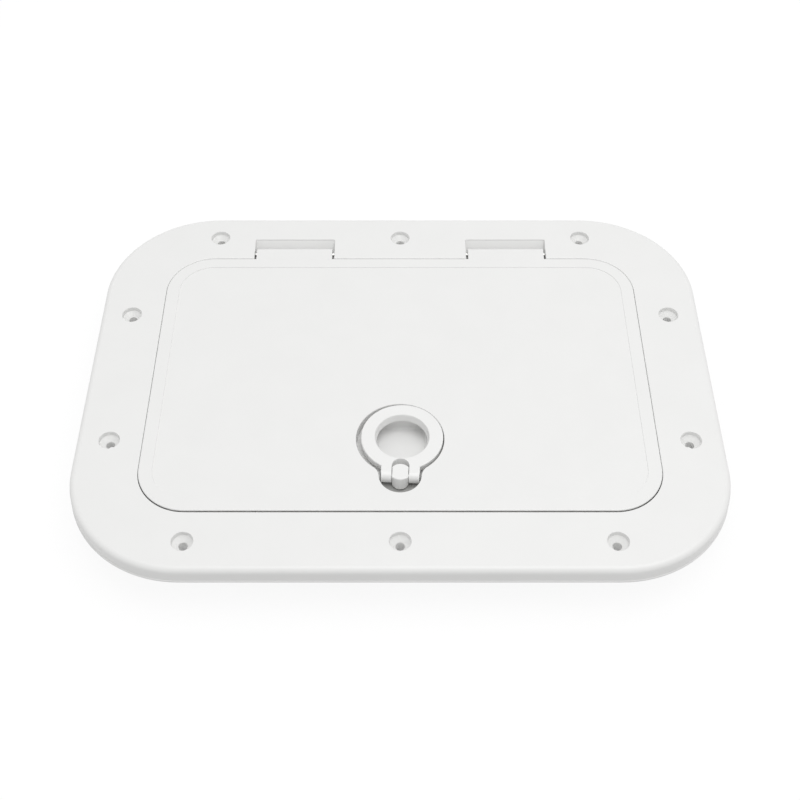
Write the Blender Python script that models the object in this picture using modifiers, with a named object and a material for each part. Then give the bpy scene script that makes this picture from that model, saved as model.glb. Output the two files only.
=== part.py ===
"""Deck hatch: a flanged frame, a hinged lid with its seal, and a lift-ring latch.

Metres. +X runs along the hinge line, +Y towards the hinges and +Z up.
The origin is under the middle of the frame, level with the collar's lower edge.
"""

import math

import bmesh
import bpy
from mathutils import Matrix, Vector

# Frame: outline, heights and walls
FRAME_LENGTH = 0.383
FRAME_WIDTH = 0.283
CORNER_RADIUS = 0.0695
COLLAR_DROP = 0.027
FLANGE_HEIGHT = 0.011
RIM_FILLET = 0.0038
RIM_WALL = 0.003
TOP_WALL = 0.004
COLLAR_WALL = 0.003
SEAT_MARGIN = 0.0396
LEDGE_WIDTH = 0.010
LEDGE_THICKNESS = 0.003
GUTTER_DEPTH = 0.014
LIP_DEPTH = 0.008
LIP_WALL = 0.003
CHANNEL_GAP = 0.001

# Frame: screw holes and underside stiffening
SCREW_ROW_INSET = 0.020
SCREW_ROW_SPACING = 0.121
SCREW_SIDE_SPACING = 0.0507
SCREW_RADIUS = 0.00275
COUNTERBORE_RADIUS = 0.0065
COUNTERBORE_DEPTH = 0.004
SCREW_SEAT_DEPTH = 0.0056
BOSS_RADIUS = 0.0085
RIB_WALL = 0.002
FRONT_RIBS = (0.030, 0.075)
BACK_RIB = 0.109
SIDE_RIB = 0.078

# Hinges
HINGE_X = 0.0705
HINGE_INSET = 0.0322
HINGE_DEPTH = 0.004
TAB_LENGTH = 0.0504
TAB_DROP = 0.0001
TAB_NECK = 1.4
NOTCH_LENGTH = 0.053
NOTCH_BACK_INSET = 0.0217
NOTCH_DEPTH = 0.0085
NOTCH_RAMP = 0.0054
CHEEK_WALL = 0.0025
PIN_RADIUS = 0.0015
PIN_HEAD_RADIUS = 0.0025
PIN_HEAD = 0.0012
CLIP_RADIUS = 0.0026
CLIP_THICKNESS = 0.001
PIN_TAIL = 0.0012
POCKET_LENGTH = 0.0045

# Lid and its seal
LID_GAP = 0.0014
LID_EDGE_GAP = 0.0007
LID_EDGE = 0.0006
LID_THICKNESS = 0.0045
SKIRT_WALL = 0.003
SKIRT_DEPTH = 0.012
BORDER_WIDTH = 0.007
PANEL_STEP = 0.0005
SEAL_WIDTH = 0.006
LID_RIB_DEPTH = 0.005
LID_RIBS_X = (-0.100, -0.050, 0.050, 0.100)
LID_RIBS_Y = (-0.048, 0.0, 0.048)
LID_RIB_END = 0.054

# Latch recess in the lid
RECESS_Y = -0.049
RECESS_RADIUS = 0.026
RECESS_DEPTH = 0.0075
PIVOT_Y = -0.0755
PIVOT_RECESS_RADIUS = 0.01235
PIVOT_RECESS_DEPTH = 0.0105
RECESS_BLEND = 0.008
RECESS_WALL = 0.0025
DISH_BACK_Y = -0.0317
DISH_FRONT_Y = -0.060
DISH_WIDTH = 0.031
DISH_DEPTH = 0.0075
RING_REST_WIDTH = 0.012
RING_REST_REACH = 0.006
BUSH_RADIUS = 0.009
BUSH_DEPTH = 0.0157

# Pull ring, its pin and the pivot block
RING_Y = -0.0482
RING_RADIUS = 0.0242
RING_THICKNESS = 0.0045
RING_HOLE_Y = -0.0476
RING_HOLE_RADIUS = 0.016
RING_HOLE_TAPER = 0.002
RING_TURN = math.radians(-2.4)
EARS_WIDTH = 0.0227
EAR_RADIUS = 0.0039
EAR_SLOT = 0.010
SLOT_END_Y = -0.0644
RING_PIN_Y = -0.074
RING_PIN_DEPTH = 0.004
RING_PIN_LENGTH = 0.022
LUG_WIDTH = 0.0094
LUG_BACK_Y = -0.0690
LUG_FRONT_Y = -0.0793
LUG_BULGE = 0.0036
LUG_RISE = 0.0002
LUG_FILLET = 0.0008
STEM_RADIUS = 0.0055
STEM_LENGTH = 0.006
SPINDLE_SEAL_THICKNESS = 0.0014

# Spindle and the stack under the lid
SPINDLE_ROUND = 0.0024
SPINDLE_SQUARE = 0.0074
SPINDLE_SQUARE_LENGTH = 0.0039
THREAD_RADIUS = 0.003
THREAD_LENGTH = 0.0066
THRUST_WASHER = 0.001
TONGUE_THICKNESS = 0.0037
TONGUE_REACH = 0.0246
TONGUE_WIDTH = 0.014
SPRING_WASHER = 0.0011
SPRING_WASHER_RADIUS = 0.006
SPRING_SPLIT = 0.0015
NUT_HEIGHT = 0.0035
NUT_FLATS = 0.010
NUT_SIDES = 6

# Clearances and facets
GAP = 0.0003
PAST = 0.001
CORNER_STEPS = 12
ROUND_STEPS = 32
HOLE_STEPS = 24
LUG_STEPS = 8
BLEND_STEPS = 6
RIM_STEPS = 4
LUG_FILLET_STEPS = 3
ROUND_PROFILE = 0.5
FACING_UP = 0.99
WELD = 1e-6
SHARP_ANGLE = math.radians(35)
AXIS_MARK = 0.02

# Levels that follow from the sizes above
DECK_Z = COLLAR_DROP
TOP_Z = DECK_Z + FLANGE_HEIGHT
LIP_Z = TOP_Z - LIP_DEPTH
GUTTER_Z = TOP_Z - GUTTER_DEPTH
LEDGE_Z = GUTTER_Z - LEDGE_THICKNESS
PLATE_Z = TOP_Z - LID_THICKNESS
HINGE_Y = FRAME_WIDTH / 2 - HINGE_INSET
HINGE_Z = TOP_Z - HINGE_DEPTH
RECESS_Z = TOP_Z - RECESS_DEPTH
PIVOT_FLOOR_Z = TOP_Z - PIVOT_RECESS_DEPTH
BUSH_Z = TOP_Z - BUSH_DEPTH
RING_Z = TOP_Z - RING_THICKNESS
RING_PIN_Z = TOP_Z - RING_PIN_DEPTH
LUG_FOOT_Z = PIVOT_FLOOR_Z + SPINDLE_SEAL_THICKNESS + 2 * GAP

# Insets from the frame's edge, all concentric
COLLAR_INSET = SEAT_MARGIN - COLLAR_WALL
LIP_INSET = SEAT_MARGIN + LEDGE_WIDTH - LIP_WALL
OPENING_INSET = SEAT_MARGIN + LEDGE_WIDTH
LID_INSET = SEAT_MARGIN + LID_GAP
LID_EDGE_INSET = SEAT_MARGIN + LID_EDGE_GAP
SEAL_INSET = LIP_INSET + LIP_WALL / 2 - SEAL_WIDTH / 2

# Finishes: colour, roughness, metallic
WHITE_PLASTIC = ((0.86, 0.86, 0.86), 0.3, 0.0)
BLACK_RUBBER = ((0.02, 0.02, 0.02), 0.7, 0.0)
GREY_RUBBER = ((0.35, 0.35, 0.35), 0.6, 0.0)
NATURAL_NYLON = ((0.72, 0.70, 0.63), 0.45, 0.0)
STAINLESS = ((0.62, 0.62, 0.61), 0.28, 1.0)

ALONG_X = (0, math.pi / 2, 0)
PROFILE_ALONG_X = (math.pi / 2, 0, math.pi / 2)


def clear_scene():
    """Remove everything, then make one collection for the parts and one for the cutters."""
    for obj in list(bpy.data.objects):
        bpy.data.objects.remove(obj)
    collections = []
    for name in ("deck_hatch", "cutters"):
        collection = bpy.data.collections.new(name)
        bpy.context.scene.collection.children.link(collection)
        collections.append(collection)
    return collections


PARTS, CUTTERS = clear_scene()


def move_to(obj, collection):
    for old in list(obj.users_collection):
        old.objects.unlink(obj)
    collection.objects.link(obj)


def attach(child, parent):
    """Parent without moving the child."""
    bpy.context.view_layer.update()
    child.parent = parent
    child.matrix_parent_inverse = parent.matrix_world.inverted()


def axis_empty(name, location):
    """An empty on a joint's axis, for the pieces that move about it."""
    empty = bpy.data.objects.new(name, None)
    empty.empty_display_size = AXIS_MARK
    empty.location = location
    PARTS.objects.link(empty)
    return empty


def combine(target, tool, operation):
    """Cut a solid with a tool, or join the tool to it. The tool follows the solid."""
    attach(tool, target)
    move_to(tool, CUTTERS)
    tool.hide_render = True
    tool.display_type = "WIRE"
    modifier = target.modifiers.new(tool.name, "BOOLEAN")
    modifier.operation = operation
    modifier.solver = "EXACT"
    modifier.object = tool


def cut(target, tool):
    combine(target, tool, "DIFFERENCE")


def join(target, tool):
    combine(target, tool, "UNION")


def finish(obj, look):
    """Give a part its material and soft shading on round faces."""
    colour, roughness, metallic = look
    material = bpy.data.materials.new(obj.name)
    material.use_nodes = True
    shader = material.node_tree.nodes["Principled BSDF"]
    shader.inputs["Base Color"].default_value = (*colour, 1)
    shader.inputs["Roughness"].default_value = roughness
    shader.inputs["Metallic"].default_value = metallic
    material.diffuse_color = (*colour, 1)
    obj.data.materials.append(material)
    obj.data.shade_smooth()
    obj.data.set_sharp_from_angle(angle=SHARP_ANGLE)
    move_to(obj, PARTS)
    return obj


def arc(centre, radius, start, end, steps):
    """Points along an arc, both ends included, with angles in degrees."""
    points = []
    for step in range(steps + 1):
        angle = math.radians(start + (end - start) * step / steps)
        points.append((centre[0] + radius * math.cos(angle), centre[1] + radius * math.sin(angle)))
    return points


def inset_outline(inset):
    """The frame's rounded rectangle, drawn in from its edge."""
    reach_x = FRAME_LENGTH / 2 - CORNER_RADIUS
    reach_y = FRAME_WIDTH / 2 - CORNER_RADIUS
    centres = ((reach_x, reach_y), (-reach_x, reach_y), (-reach_x, -reach_y), (reach_x, -reach_y))
    points = []
    for quarter, centre in enumerate(centres):
        points += arc(centre, CORNER_RADIUS - inset, 90 * quarter, 90 * quarter + 90, CORNER_STEPS)
    return points


def keyhole_outline(grow):
    """The ring's round recess blended into the pivot's smaller one, grown by a wall."""
    large = RECESS_RADIUS + grow
    small = PIVOT_RECESS_RADIUS + grow
    blend = RECESS_BLEND - grow
    apart = RECESS_Y - PIVOT_Y
    to_large = large + blend
    to_small = small + blend
    along = (to_large**2 - to_small**2 + apart**2) / (2 * apart)
    side = math.sqrt(to_large**2 - along**2)
    blend_y = RECESS_Y - along
    from_large = math.degrees(math.atan2(blend_y - RECESS_Y, side))
    from_small = math.degrees(math.atan2(blend_y - PIVOT_Y, side))
    points = arc((0, RECESS_Y), large, from_large, 180 - from_large, ROUND_STEPS)
    points += arc((-side, blend_y), blend, -from_large, -from_small, BLEND_STEPS)[1:]
    points += arc((0, PIVOT_Y), small, 180 - from_small, 360 + from_small, HOLE_STEPS)[1:]
    points += arc((side, blend_y), blend, 180 + from_small, 180 + from_large, BLEND_STEPS)[1:-1]
    return points


def plate(name, outlines, low, high, turn=(0, 0, 0), along=2):
    """A flat outline, with any holes, extruded between two levels of one axis."""
    curve = bpy.data.curves.new(name, "CURVE")
    curve.dimensions = "2D"
    curve.fill_mode = "BOTH"
    curve.extrude = (high - low) / 2
    for outline in outlines:
        spline = curve.splines.new("POLY")
        spline.points.add(len(outline) - 1)
        for point, (x, y) in zip(spline.points, outline):
            point.co = (x, y, 0, 1)
        spline.use_cyclic_u = True
    flat = bpy.data.objects.new(name + "_outline", curve)
    flat.location[along] = (low + high) / 2
    flat.rotation_euler = turn
    PARTS.objects.link(flat)
    bpy.context.view_layer.update()
    graph = bpy.context.evaluated_depsgraph_get()
    mesh = bpy.data.meshes.new_from_object(flat.evaluated_get(graph))
    mesh.name = name
    weld(mesh)
    solid = bpy.data.objects.new(name, mesh)
    solid.matrix_world = flat.matrix_world
    PARTS.objects.link(solid)
    bpy.data.objects.remove(flat)
    return solid


def weld(mesh):
    """Close an extruded curve's caps and turn its faces outwards."""
    bm = bmesh.new()
    bm.from_mesh(mesh)
    bmesh.ops.remove_doubles(bm, verts=bm.verts, dist=WELD)
    bmesh.ops.recalc_face_normals(bm, faces=bm.faces)
    bm.to_mesh(mesh)
    bm.free()


def round_top(solid, width, steps):
    """Make a plate's upper side one face and round the edge about it."""
    bm = bmesh.new()
    bm.from_mesh(solid.data)
    caps = [face for face in bm.faces if face.normal.z > FACING_UP]
    top = bmesh.ops.dissolve_faces(bm, faces=caps)["region"][0]
    bmesh.ops.bevel(
        bm, geom=top.edges[:], offset=width, segments=steps, profile=ROUND_PROFILE, affect="EDGES"
    )
    bm.to_mesh(solid.data)
    bm.free()


def box(name, low, high):
    """A box between two corners."""
    low = Vector(low)
    high = Vector(high)
    bpy.ops.mesh.primitive_cube_add(size=1, location=(low + high) / 2)
    obj = bpy.context.object
    obj.name = name
    obj.data.transform(Matrix.Diagonal((*(high - low), 1)))
    return obj


def rod(name, radius, low, high, centre, turn=(0, 0, 0), along=2, steps=HOLE_STEPS):
    """A cylinder between two levels of one axis, through a centre point."""
    place = list(centre)
    place[along] = (low + high) / 2
    bpy.ops.mesh.primitive_cylinder_add(
        vertices=steps, radius=radius, depth=high - low, location=place, rotation=turn
    )
    bpy.context.object.name = name
    return bpy.context.object


def turned(name, profile, location, turn=(0, 0, 0), steps=HOLE_STEPS, closed=False):
    """A turned shape: (radius, height) points down its outer side, spun about its axis."""
    mesh = bpy.data.meshes.new(name)
    count = len(profile)
    edges = [(index, index + 1) for index in range(count - 1)]
    if closed:
        edges.append((count - 1, 0))
    mesh.from_pydata([(radius, 0, height) for radius, height in profile], edges, [])
    obj = bpy.data.objects.new(name, mesh)
    obj.location = location
    obj.rotation_euler = turn
    PARTS.objects.link(obj)
    screw = obj.modifiers.new("spin", "SCREW")
    screw.steps = steps
    screw.render_steps = steps
    screw.use_merge_vertices = True
    screw.merge_threshold = WELD
    return obj


def washer(name, inner, outer, low, high, centre, turn=(0, 0, 0)):
    profile = [(inner, high), (outer, high), (outer, low), (inner, low)]
    return turned(name, profile, centre, turn, closed=True)


def screw_places():
    """The ten screw positions: three along the front and back, two on each side."""
    row_y = FRAME_WIDTH / 2 - SCREW_ROW_INSET
    side_x = FRAME_LENGTH / 2 - SCREW_ROW_INSET
    places = []
    for side in (-1, 1):
        for column in (-1, 0, 1):
            places.append((column * SCREW_ROW_SPACING, side * row_y))
        for row in (-1, 1):
            places.append((side * side_x, row * SCREW_SIDE_SPACING))
    return places


def build_channel():
    """The hollow under the flange, broken by screw bosses, ribs and the hinge pockets' walls."""
    outlines = [inset_outline(RIM_WALL), inset_outline(COLLAR_INSET - CHANNEL_GAP)]
    channel = plate("flange_channel", outlines, DECK_Z - PAST, TOP_Z - TOP_WALL)
    below = DECK_Z - 2 * PAST
    for number, (x, y) in enumerate(screw_places()):
        cut(channel, rod(f"screw_boss_{number}", BOSS_RADIUS, below, TOP_Z, (x, y, 0)))
    half_wall = RIB_WALL / 2
    half_length = FRAME_LENGTH / 2
    half_width = FRAME_WIDTH / 2
    for side in (-1, 1):
        for x in FRONT_RIBS:
            low = (side * x - half_wall, -half_width, below)
            high = (side * x + half_wall, -half_width + SEAT_MARGIN, TOP_Z)
            cut(channel, box(f"front_rib_{side}_{x}", low, high))
        low = (side * BACK_RIB - half_wall, half_width - SEAT_MARGIN, below)
        high = (side * BACK_RIB + half_wall, half_width, TOP_Z)
        cut(channel, box(f"back_rib_{side}", low, high))
        for y in (-SIDE_RIB, 0, SIDE_RIB):
            middle = side * (half_length - SEAT_MARGIN / 2)
            low = (middle - SEAT_MARGIN / 2, y - half_wall, below)
            high = (middle + SEAT_MARGIN / 2, y + half_wall, TOP_Z)
            cut(channel, box(f"side_rib_{side}_{y}", low, high))
        reach = NOTCH_LENGTH / 2 + CHEEK_WALL
        low = (side * HINGE_X - reach, half_width - SEAT_MARGIN, below)
        high = (side * HINGE_X + reach, half_width - NOTCH_BACK_INSET + CHEEK_WALL, TOP_Z)
        cut(channel, box(f"hinge_block_{side}", low, high))
    return channel


def build_frame():
    frame = plate("frame", [inset_outline(0)], DECK_Z, TOP_Z)
    round_top(frame, RIM_FILLET, RIM_STEPS)
    join(frame, plate("collar", [inset_outline(COLLAR_INSET)], 0, TOP_Z - RIM_FILLET))
    cut(frame, plate("opening", [inset_outline(OPENING_INSET)], -PAST, TOP_Z + PAST))
    cut(frame, plate("seat", [inset_outline(LIP_INSET - PAST)], LIP_Z, TOP_Z + PAST))
    gutter = [inset_outline(SEAT_MARGIN), inset_outline(LIP_INSET)]
    cut(frame, plate("gutter", gutter, GUTTER_Z, TOP_Z + PAST))
    cut(frame, plate("under_ledge", [inset_outline(SEAT_MARGIN)], -PAST, LEDGE_Z))
    cut(frame, build_channel())
    bore = [
        (0, TOP_Z + PAST),
        (COUNTERBORE_RADIUS, TOP_Z + PAST),
        (COUNTERBORE_RADIUS, TOP_Z - COUNTERBORE_DEPTH),
        (SCREW_RADIUS, TOP_Z - SCREW_SEAT_DEPTH),
        (SCREW_RADIUS, DECK_Z - PAST),
        (0, DECK_Z - PAST),
    ]
    for number, (x, y) in enumerate(screw_places()):
        cut(frame, turned(f"screw_hole_{number}", bore, (x, y, 0)))
    for side, name in ((-1, "left"), (1, "right")):
        cut_hinge(frame, side, name)
    return finish(frame, WHITE_PLASTIC)


def cut_hinge(frame, side, name):
    """A pocket with a sloping back for the lid's tab, the pin's hole and room for the pin's two ends."""
    middle = side * HINGE_X
    half = NOTCH_LENGTH / 2
    seat_y = FRAME_WIDTH / 2 - SEAT_MARGIN
    back = FRAME_WIDTH / 2 - NOTCH_BACK_INSET
    floor = TOP_Z - NOTCH_DEPTH
    side_view = [
        (seat_y - PAST, floor),
        (back - NOTCH_RAMP, floor),
        (back, TOP_Z),
        (back, TOP_Z + PAST),
        (seat_y - PAST, TOP_Z + PAST),
    ]
    cut(frame, plate(f"hinge_notch_{name}", [side_view], middle - half, middle + half, PROFILE_ALONG_X, 0))
    reach = half + CHEEK_WALL + PAST
    hole = rod(
        f"hinge_hole_{name}",
        PIN_RADIUS + GAP,
        middle - reach,
        middle + reach,
        (0, HINGE_Y, HINGE_Z),
        ALONG_X,
        0,
    )
    cut(frame, hole)
    room = CLIP_RADIUS + GAP
    for end in (-1, 1):
        near = middle + end * (half + CHEEK_WALL)
        far = near + end * POCKET_LENGTH
        low = (min(near, far), HINGE_Y - room, DECK_Z - PAST)
        high = (max(near, far), HINGE_Y + room, HINGE_Z + room)
        cut(frame, box(f"pin_pocket_{name}_{end}", low, high))


def build_hinge_pin(side, name):
    """A headed pin, put in from the middle of the frame, and the clip on its far end."""
    middle = side * HINGE_X
    reach = NOTCH_LENGTH / 2 + CHEEK_WALL + GAP
    tail = reach + CLIP_THICKNESS + PIN_TAIL
    head = -reach - PIN_HEAD
    profile = [
        (0, tail),
        (PIN_RADIUS, tail),
        (PIN_RADIUS, -reach),
        (PIN_HEAD_RADIUS, -reach),
        (PIN_HEAD_RADIUS, head),
        (0, head),
    ]
    facing = (0, side * math.pi / 2, 0)
    axis = (middle, HINGE_Y, HINGE_Z)
    finish(turned(f"hinge_pin_{name}", profile, axis, facing), STAINLESS)
    clip = washer(
        f"pin_clip_{name}", PIN_RADIUS + GAP, CLIP_RADIUS, reach, reach + CLIP_THICKNESS, axis, facing
    )
    finish(clip, STAINLESS)


def tab_outline():
    """A hinge tab's side view: level with the lid, with a round barrel about the pin."""
    radius = HINGE_DEPTH - TAB_DROP
    barrel = arc((HINGE_Y, HINGE_Z), radius, 90, -150, HOLE_STEPS)
    root = FRAME_WIDTH / 2 - LID_INSET - SKIRT_WALL / 2
    neck = HINGE_Y - TAB_NECK * radius
    return [(root, TOP_Z - TAB_DROP)] + barrel + [(neck, PLATE_Z), (root, PLATE_Z)]


def build_lid():
    lid = plate("lid", [inset_outline(LID_INSET)], TOP_Z - SKIRT_DEPTH, TOP_Z - LID_EDGE / 2)
    join(lid, plate("lid_edge", [inset_outline(LID_EDGE_INSET)], TOP_Z - LID_EDGE, TOP_Z))
    inside = plate("lid_inside", [inset_outline(LID_INSET + SKIRT_WALL)], TOP_Z - SKIRT_DEPTH - PAST, PLATE_Z)
    cut(lid, inside)
    add_lid_ribs(lid)
    add_latch_recess(lid)
    panel = inset_outline(LID_INSET + BORDER_WIDTH)
    cut(lid, plate("panel_step", [panel], TOP_Z - PANEL_STEP, TOP_Z + PAST))
    for side, name in ((-1, "left"), (1, "right")):
        middle = side * HINGE_X
        low = middle - TAB_LENGTH / 2
        high = middle + TAB_LENGTH / 2
        join(lid, plate(f"hinge_tab_{name}", [tab_outline()], low, high, PROFILE_ALONG_X, 0))
        hole = rod(
            f"tab_hole_{name}", PIN_RADIUS + GAP, low - PAST, high + PAST, (0, HINGE_Y, HINGE_Z), ALONG_X, 0
        )
        cut(lid, hole)
    return finish(lid, WHITE_PLASTIC)


def add_lid_ribs(lid):
    low_z = PLATE_Z - LID_RIB_DEPTH
    high_z = PLATE_Z + PAST
    half_wall = RIB_WALL / 2
    end_x = FRAME_LENGTH / 2 - LID_RIB_END
    end_y = FRAME_WIDTH / 2 - LID_RIB_END
    for number, x in enumerate(LID_RIBS_X):
        low = (x - half_wall, -end_y, low_z)
        high = (x + half_wall, end_y, high_z)
        join(lid, box(f"cross_rib_{number}", low, high))
    for number, y in enumerate(LID_RIBS_Y):
        low = (-end_x, y - half_wall, low_z)
        high = (end_x, y + half_wall, high_z)
        join(lid, box(f"long_rib_{number}", low, high))


def dish_solid(name, wall):
    """The finger dish, grown by a wall: a ramp that falls to an upright back."""
    front = DISH_FRONT_Y - wall
    back = DISH_BACK_Y + wall
    floor = RECESS_Z - wall
    top = RECESS_Z + PAST
    side_view = [(front, top), (front, floor), (back, floor - DISH_DEPTH), (back, top)]
    half = DISH_WIDTH / 2 + wall
    return plate(name, [side_view], -half, half, PROFILE_ALONG_X, 0)


def add_latch_recess(lid):
    """Walls under the plate first, then the recess, the pivot's pocket, the dish and the spindle's bore."""
    high = PLATE_Z + PAST
    floor = PIVOT_FLOOR_Z - RECESS_WALL
    pivot = (0, PIVOT_Y, 0)
    room = EARS_WIDTH / 2 + GAP
    back = RING_PIN_Y + EAR_RADIUS + PAST
    join(lid, plate("recess_shell", [keyhole_outline(RECESS_WALL)], RECESS_Z - RECESS_WALL, high))
    join(lid, dish_solid("dish_shell", RECESS_WALL))
    join(lid, rod("pivot_shell", PIVOT_RECESS_RADIUS + RECESS_WALL, floor, high, pivot))
    shell_low = (-room - RECESS_WALL, PIVOT_Y, floor)
    join(lid, box("pivot_shell_back", shell_low, (room + RECESS_WALL, back + RECESS_WALL, high)))
    join(lid, rod("bush", BUSH_RADIUS, BUSH_Z, PIVOT_FLOOR_Z, pivot))
    above = TOP_Z + PAST
    cut(lid, plate("recess", [keyhole_outline(0)], RECESS_Z, above))
    well = PIVOT_RECESS_RADIUS - GAP
    cut(lid, rod("pivot_well", well, PIVOT_FLOOR_Z, RECESS_Z + PAST, pivot, steps=ROUND_STEPS))
    cut(lid, box("ear_room", (-room, PIVOT_Y, PIVOT_FLOOR_Z), (room, back, RECESS_Z + PAST)))
    cut(lid, dish_solid("dish", 0))
    rest_back = RECESS_Y + RECESS_RADIUS + RECESS_WALL / 2
    rest_low = (-RING_REST_WIDTH / 2, rest_back - RING_REST_REACH, RECESS_Z - PAST)
    join(lid, box("ring_rest", rest_low, (RING_REST_WIDTH / 2, rest_back, RING_Z - GAP)))
    cut(lid, rod("spindle_bore", STEM_RADIUS + GAP, BUSH_Z - PAST, above, pivot))


def build_lid_seal():
    outlines = [inset_outline(SEAL_INSET), inset_outline(SEAL_INSET + SEAL_WIDTH)]
    return finish(plate("lid_seal", outlines, LIP_Z + GAP, PLATE_Z - GAP), BLACK_RUBBER)


def ring_outline():
    """The ring's plan: a disc with straight-sided ears reaching the pin."""
    half = EARS_WIDTH / 2
    meet = math.degrees(math.asin(half / RING_RADIUS))
    points = arc((0, RING_Y), RING_RADIUS, meet - 90, 270 - meet, 2 * ROUND_STEPS)
    return points + [(-half, RING_PIN_Y), (half, RING_PIN_Y)]


def build_pull_ring():
    ring = plate("pull_ring", [ring_outline()], RING_Z, TOP_Z)
    half = EARS_WIDTH / 2
    pin = (0, RING_PIN_Y, RING_PIN_Z)
    join(ring, rod("ear_barrels", EAR_RADIUS, -half + GAP, half - GAP, pin, ALONG_X, 0))
    hole_top = RING_HOLE_RADIUS + RING_HOLE_TAPER * PAST / RING_THICKNESS
    hole_low = RING_HOLE_RADIUS - RING_HOLE_TAPER * (1 + PAST / RING_THICKNESS)
    hole = [
        (0, TOP_Z + PAST),
        (hole_top, TOP_Z + PAST),
        (hole_low, RING_Z - PAST),
        (0, RING_Z - PAST),
    ]
    cut(ring, turned("ring_hole", hole, (0, RING_HOLE_Y, 0), steps=2 * ROUND_STEPS))
    slot_y = SLOT_END_Y - EAR_SLOT / 2
    slot_front = RING_PIN_Y - EAR_RADIUS - PAST
    slot = arc((0, slot_y), EAR_SLOT / 2, 0, 180, HOLE_STEPS)
    slot += [(-EAR_SLOT / 2, slot_front), (EAR_SLOT / 2, slot_front)]
    cut(ring, plate("ear_slot", [slot], RING_PIN_Z - EAR_RADIUS - PAST, TOP_Z + PAST))
    cut(ring, rod("ring_pin_hole", PIN_RADIUS + GAP, -half - PAST, half + PAST, pin, ALONG_X, 0))
    return finish(ring, WHITE_PLASTIC)


def build_pivot_block():
    """An upright lug with bowed ends, on a round stem through the lid."""
    half = LUG_WIDTH / 2
    bow = (half**2 + LUG_BULGE**2) / (2 * LUG_BULGE)
    swing = math.degrees(math.asin(half / bow))
    outline = arc((0, LUG_BACK_Y - bow), bow, 90 - swing, 90 + swing, LUG_STEPS)
    outline += arc((0, LUG_FRONT_Y + bow), bow, 270 - swing, 270 + swing, LUG_STEPS)
    block = plate("pivot_block", [outline], LUG_FOOT_Z, TOP_Z + LUG_RISE)
    round_top(block, LUG_FILLET, LUG_FILLET_STEPS)
    stem_low = LUG_FOOT_Z - STEM_LENGTH
    join(block, rod("stem", STEM_RADIUS, stem_low, LUG_FOOT_Z + GAP, (0, PIVOT_Y, 0)))
    pin_hole = rod(
        "lug_pin_hole", PIN_RADIUS + GAP, -LUG_WIDTH, LUG_WIDTH, (0, RING_PIN_Y, RING_PIN_Z), ALONG_X, 0
    )
    cut(block, pin_hole)
    return finish(block, WHITE_PLASTIC)


def build_ring_pin():
    half = RING_PIN_LENGTH / 2
    pin = rod("ring_pin", PIN_RADIUS, -half, half, (0, RING_PIN_Y, RING_PIN_Z), ALONG_X, 0)
    return finish(pin, STAINLESS)


def build_spindle_seal():
    low = PIVOT_FLOOR_Z + GAP
    high = low + SPINDLE_SEAL_THICKNESS
    outer = PIVOT_RECESS_RADIUS - 2 * GAP
    seal = washer("spindle_seal", STEM_RADIUS + GAP, outer, low, high, (0, PIVOT_Y, 0))
    return finish(seal, GREY_RUBBER)


def build_spindle_stack():
    """The spindle and what turns with it, from the lid's bush down."""
    axis = (0, PIVOT_Y, 0)
    top = LUG_FOOT_Z - STEM_LENGTH - GAP
    round_low = top - SPINDLE_ROUND
    square_low = round_low - SPINDLE_SQUARE_LENGTH
    spindle = rod("spindle", STEM_RADIUS, round_low, top, axis)
    half = SPINDLE_SQUARE / 2
    square_from = (-half, PIVOT_Y - half, square_low)
    square_to = (half, PIVOT_Y + half, round_low + PAST)
    join(spindle, box("spindle_square", square_from, square_to))
    join(spindle, rod("spindle_thread", THREAD_RADIUS, square_low - THREAD_LENGTH, square_low + PAST, axis))
    finish(spindle, STAINLESS)

    washer_high = BUSH_Z - GAP
    washer_low = washer_high - THRUST_WASHER
    thrust = washer("thrust_washer", STEM_RADIUS + GAP, BUSH_RADIUS, washer_low, washer_high, axis)
    finish(thrust, NATURAL_NYLON)

    tongue_high = washer_low - GAP
    tongue_low = tongue_high - TONGUE_THICKNESS
    tongue = build_tongue(tongue_low, tongue_high)

    spring_high = tongue_low - GAP
    spring_low = spring_high - SPRING_WASHER
    inner = THREAD_RADIUS + GAP
    spring = washer("spring_washer", inner, SPRING_WASHER_RADIUS, spring_low, spring_high, axis)
    split = SPRING_SPLIT / 2
    split_low = (0, PIVOT_Y - split, spring_low - PAST)
    split_high = (2 * SPRING_WASHER_RADIUS, PIVOT_Y + split, spring_high + PAST)
    cut(spring, box("washer_split", split_low, split_high))
    finish(spring, STAINLESS)

    nut_high = spring_low - GAP
    nut = rod("tongue_nut", NUT_FLATS / math.sqrt(3), nut_high - NUT_HEIGHT, nut_high, axis, steps=NUT_SIDES)
    cut(nut, rod("nut_bore", inner, nut_high - NUT_HEIGHT - PAST, nut_high + PAST, axis))
    finish(nut, STAINLESS)
    return [spindle, thrust, tongue, spring, nut]


def build_tongue(low, high):
    """A bar with a round end about the spindle's square, lying along -X when unlocked."""
    half = TONGUE_WIDTH / 2
    outline = arc((0, PIVOT_Y), BUSH_RADIUS, -135, 135, HOLE_STEPS)
    outline += [(-BUSH_RADIUS, PIVOT_Y + half), (-TONGUE_REACH, PIVOT_Y + half)]
    outline += [(-TONGUE_REACH, PIVOT_Y - half), (-BUSH_RADIUS, PIVOT_Y - half)]
    tongue = plate("latch_tongue", [outline], low, high)
    hole = SPINDLE_SQUARE / 2 + GAP
    hole_low = (-hole, PIVOT_Y - hole, low - PAST)
    cut(tongue, box("tongue_hole", hole_low, (hole, PIVOT_Y + hole, high + PAST)))
    return finish(tongue, WHITE_PLASTIC)


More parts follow.
